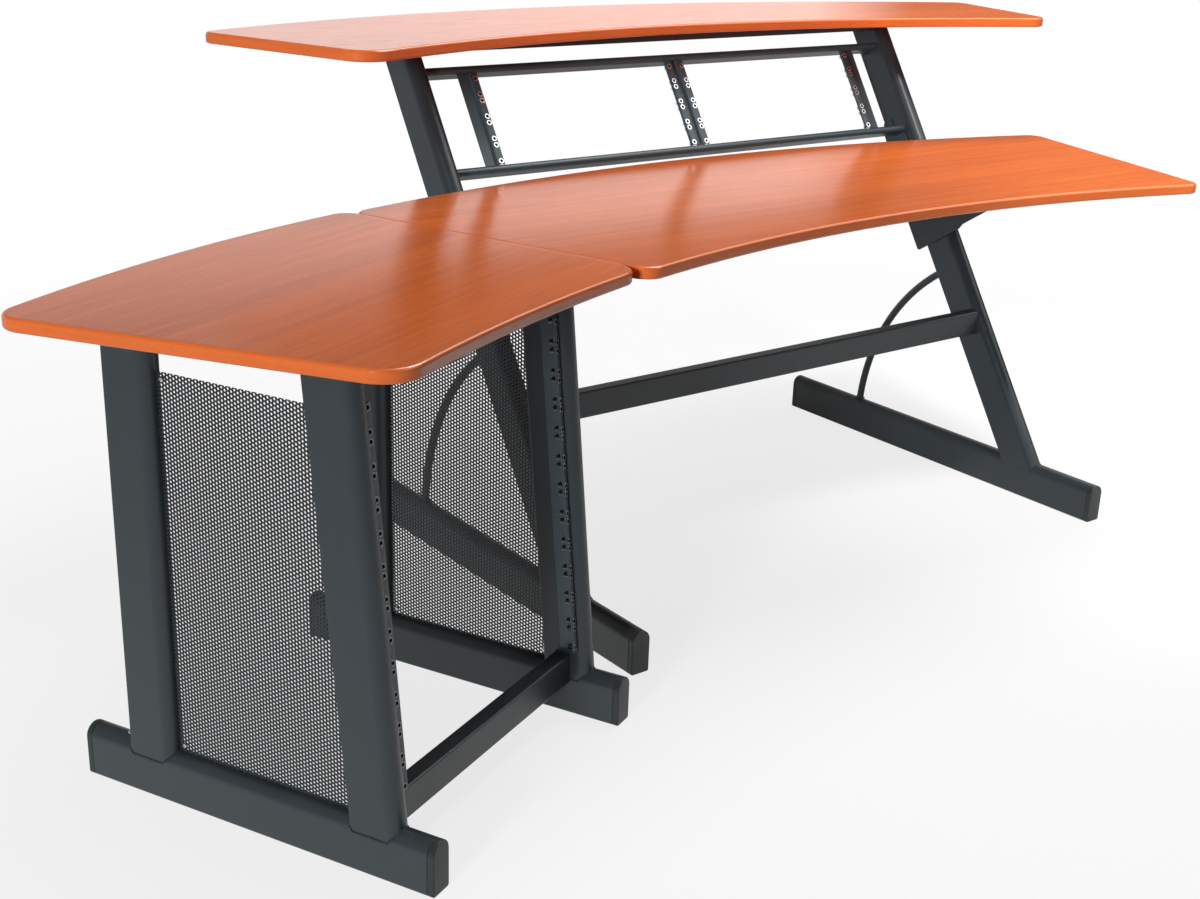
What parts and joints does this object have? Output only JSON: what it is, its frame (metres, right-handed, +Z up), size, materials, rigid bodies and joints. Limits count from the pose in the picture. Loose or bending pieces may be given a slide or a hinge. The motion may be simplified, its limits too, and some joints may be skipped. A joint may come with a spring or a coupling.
{
  "type": "studio rack desk",
  "caption": "Curved studio workstation desk with leaning rack bays, a raised top shelf and a side rack cabinet.",
  "frame": {"origin": "middle of the desk's footprint, on the floor", "axes": "+X to the sitter's right, +Y to the rear, +Z up"},
  "size_m": [2.5134, 1.3568, 0.9775],
  "materials": {
    "cherry_top": "glossy lacquered cherry veneer",
    "cherry_edge": "glossy lacquered cherry edge band",
    "frame_coat": "satin dark grey powder coat",
    "rack_coat": "satin dark grey powder coat",
    "plastic_cap": "matte dark grey plastic",
    "perforated_steel": "satin dark grey powder coat on perforated sheet"
  },
  "bodies": {
    "root": {"main_desktop": "cherry_top", "side_desktop": "cherry_top", "top_shelf": "cherry_top", "main_desktop_edge": "cherry_edge", "side_desktop_edge": "cherry_edge", "top_shelf_edge": "cherry_edge", "left_leg": "frame_coat", "right_leg": "frame_coat", "left_base_tube": "frame_coat", "right_base_tube": "frame_coat", "left_arc_brace": "frame_coat", "right_arc_brace": "frame_coat", "left_desk_bracket": "frame_coat", "right_desk_bracket": "frame_coat", "lower_crossbar": "frame_coat", "shelf_beam": "frame_coat", "left_shelf_plate": "frame_coat", "right_shelf_plate": "frame_coat", "lower_rack_tube": "frame_coat", "upper_rack_tube": "frame_coat", "left_rack_lug": "frame_coat", "right_rack_lug": "frame_coat", "desk_joining_plate": "frame_coat", "cabinet_left_base_tube": "frame_coat", "cabinet_right_base_tube": "frame_coat", "cabinet_left_front_post": "frame_coat", "cabinet_right_front_post": "frame_coat", "cabinet_left_rear_post": "frame_coat", "cabinet_right_rear_post": "frame_coat", "cabinet_crossbar": "frame_coat", "cabinet_left_front_lug": "frame_coat", "cabinet_left_rear_lug": "frame_coat", "cabinet_right_front_lug": "frame_coat", "cabinet_right_rear_lug": "frame_coat", "left_rack_strip": "rack_coat", "centre_rack_strip": "rack_coat", "right_rack_strip": "rack_coat", "cabinet_left_rail": "rack_coat", "cabinet_right_rail": "rack_coat", "left_front_cap": "plastic_cap", "left_rear_cap": "plastic_cap", "right_front_cap": "plastic_cap", "right_rear_cap": "plastic_cap", "cabinet_left_front_cap": "plastic_cap", "cabinet_left_rear_cap": "plastic_cap", "cabinet_right_front_cap": "plastic_cap", "cabinet_right_rear_cap": "plastic_cap", "cabinet_left_mesh": "perforated_steel", "cabinet_right_mesh": "perforated_steel"}
  },
  "joints": []
}
